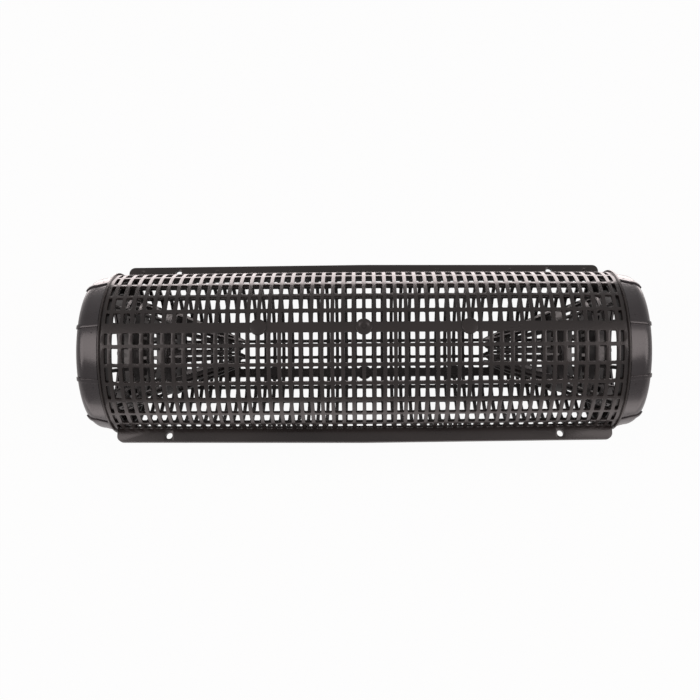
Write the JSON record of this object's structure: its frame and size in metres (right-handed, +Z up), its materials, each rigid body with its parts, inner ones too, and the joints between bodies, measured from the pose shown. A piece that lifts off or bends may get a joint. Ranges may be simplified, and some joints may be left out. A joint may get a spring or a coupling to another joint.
{
  "type": "minnow trap",
  "caption": "Lattice tube trap for bait fish: clipped half shells, push-in funnels with sprung fingers, and ribbed end caps.",
  "frame": {"origin": "on the tube's axis, half way along the trap, where the parting plane of the two shells crosses it", "axes": "+X along the trap to its right end, +Y across to a flange edge, +Z up through the upper spine and its pads"},
  "size_m": [0.3656, 0.1264, 0.11],
  "materials": {
    "shell_plastic": "satin",
    "cap_plastic": "satin",
    "funnel_plastic": "satin",
    "finger_plastic": "satin"
  },
  "bodies": {
    "shell": {"upper_shell": "shell_plastic", "lower_shell": "shell_plastic"},
    "left_funnel": {"left_funnel": "funnel_plastic"},
    "left_cap": {"left_cap": "cap_plastic"},
    "right_funnel": {"right_funnel": "funnel_plastic"},
    "right_cap": {"right_cap": "cap_plastic"},
    "left_finger_1": {"left_finger_1": "finger_plastic"},
    "left_finger_2": {"left_finger_2": "finger_plastic"},
    "left_finger_3": {"left_finger_3": "finger_plastic"},
    "left_finger_4": {"left_finger_4": "finger_plastic"},
    "left_finger_5": {"left_finger_5": "finger_plastic"},
    "left_finger_6": {"left_finger_6": "finger_plastic"},
    "left_finger_7": {"left_finger_7": "finger_plastic"},
    "left_finger_8": {"left_finger_8": "finger_plastic"},
    "right_finger_1": {"right_finger_1": "finger_plastic"},
    "right_finger_2": {"right_finger_2": "finger_plastic"},
    "right_finger_3": {"right_finger_3": "finger_plastic"},
    "right_finger_4": {"right_finger_4": "finger_plastic"},
    "right_finger_5": {"right_finger_5": "finger_plastic"},
    "right_finger_6": {"right_finger_6": "finger_plastic"},
    "right_finger_7": {"right_finger_7": "finger_plastic"},
    "right_finger_8": {"right_finger_8": "finger_plastic"}
  },
  "joints": [
    {"name": "left_funnel_pull", "type": "slide", "parent": "shell", "child": "left_funnel", "axis": [-1, 0, 0], "range_m": [0, 0.11]},
    {"name": "left_cap_turn", "type": "hinge", "parent": "left_funnel", "child": "left_cap", "pos_m": [-0.176, 0, 0], "axis": [-1, 0, 0], "continuous": true},
    {"name": "right_funnel_pull", "type": "slide", "parent": "shell", "child": "right_funnel", "axis": [1, 0, 0], "range_m": [0, 0.11]},
    {"name": "right_cap_turn", "type": "hinge", "parent": "right_funnel", "child": "right_cap", "pos_m": [0.176, 0, 0], "axis": [1, 0, 0], "continuous": true},
    {"name": "left_finger_1_flex", "type": "hinge", "parent": "left_funnel", "child": "left_finger_1", "pos_m": [-0.128, 0, 0.02571], "axis": [0, -1, 0], "range_deg": [0, 25], "stiffness_Nm_per_rad": 0.005},
    {"name": "left_finger_2_flex", "type": "hinge", "parent": "left_funnel", "child": "left_finger_2", "pos_m": [-0.128, 0.01818, 0.01818], "axis": [0, -0.7071, 0.7071], "range_deg": [0, 25], "stiffness_Nm_per_rad": 0.005},
    {"name": "left_finger_3_flex", "type": "hinge", "parent": "left_funnel", "child": "left_finger_3", "pos_m": [-0.128, 0.02571, 0], "axis": [0, 0, 1], "range_deg": [0, 25], "stiffness_Nm_per_rad": 0.005},
    {"name": "left_finger_4_flex", "type": "hinge", "parent": "left_funnel", "child": "left_finger_4", "pos_m": [-0.128, 0.01818, -0.01818], "axis": [0, 0.7071, 0.7071], "range_deg": [0, 25], "stiffness_Nm_per_rad": 0.005},
    {"name": "left_finger_5_flex", "type": "hinge", "parent": "left_funnel", "child": "left_finger_5", "pos_m": [-0.128, 0, -0.02571], "axis": [0, 1, 0], "range_deg": [0, 25], "stiffness_Nm_per_rad": 0.005},
    {"name": "left_finger_6_flex", "type": "hinge", "parent": "left_funnel", "child": "left_finger_6", "pos_m": [-0.128, -0.01818, -0.01818], "axis": [0, 0.7071, -0.7071], "range_deg": [0, 25], "stiffness_Nm_per_rad": 0.005},
    {"name": "left_finger_7_flex", "type": "hinge", "parent": "left_funnel", "child": "left_finger_7", "pos_m": [-0.128, -0.02571, 0], "axis": [0, 0, -1], "range_deg": [0, 25], "stiffness_Nm_per_rad": 0.005},
    {"name": "left_finger_8_flex", "type": "hinge", "parent": "left_funnel", "child": "left_finger_8", "pos_m": [-0.128, -0.01818, 0.01818], "axis": [0, -0.7071, -0.7071], "range_deg": [0, 25], "stiffness_Nm_per_rad": 0.005},
    {"name": "right_finger_1_flex", "type": "hinge", "parent": "right_funnel", "child": "right_finger_1", "pos_m": [0.128, 0, 0.02571], "axis": [0, 1, 0], "range_deg": [0, 25], "stiffness_Nm_per_rad": 0.005},
    {"name": "right_finger_2_flex", "type": "hinge", "parent": "right_funnel", "child": "right_finger_2", "pos_m": [0.128, -0.01818, 0.01818], "axis": [0, 0.7071, 0.7071], "range_deg": [0, 25], "stiffness_Nm_per_rad": 0.005},
    {"name": "right_finger_3_flex", "type": "hinge", "parent": "right_funnel", "child": "right_finger_3", "pos_m": [0.128, -0.02571, 0], "axis": [0, 0, 1], "range_deg": [0, 25], "stiffness_Nm_per_rad": 0.005},
    {"name": "right_finger_4_flex", "type": "hinge", "parent": "right_funnel", "child": "right_finger_4", "pos_m": [0.128, -0.01818, -0.01818], "axis": [0, -0.7071, 0.7071], "range_deg": [0, 25], "stiffness_Nm_per_rad": 0.005},
    {"name": "right_finger_5_flex", "type": "hinge", "parent": "right_funnel", "child": "right_finger_5", "pos_m": [0.128, 0, -0.02571], "axis": [0, -1, 0], "range_deg": [0, 25], "stiffness_Nm_per_rad": 0.005},
    {"name": "right_finger_6_flex", "type": "hinge", "parent": "right_funnel", "child": "right_finger_6", "pos_m": [0.128, 0.01818, -0.01818], "axis": [0, -0.7071, -0.7071], "range_deg": [0, 25], "stiffness_Nm_per_rad": 0.005},
    {"name": "right_finger_7_flex", "type": "hinge", "parent": "right_funnel", "child": "right_finger_7", "pos_m": [0.128, 0.02571, 0], "axis": [0, 0, -1], "range_deg": [0, 25], "stiffness_Nm_per_rad": 0.005},
    {"name": "right_finger_8_flex", "type": "hinge", "parent": "right_funnel", "child": "right_finger_8", "pos_m": [0.128, 0.01818, 0.01818], "axis": [0, 0.7071, -0.7071], "range_deg": [0, 25], "stiffness_Nm_per_rad": 0.005}
  ]
}
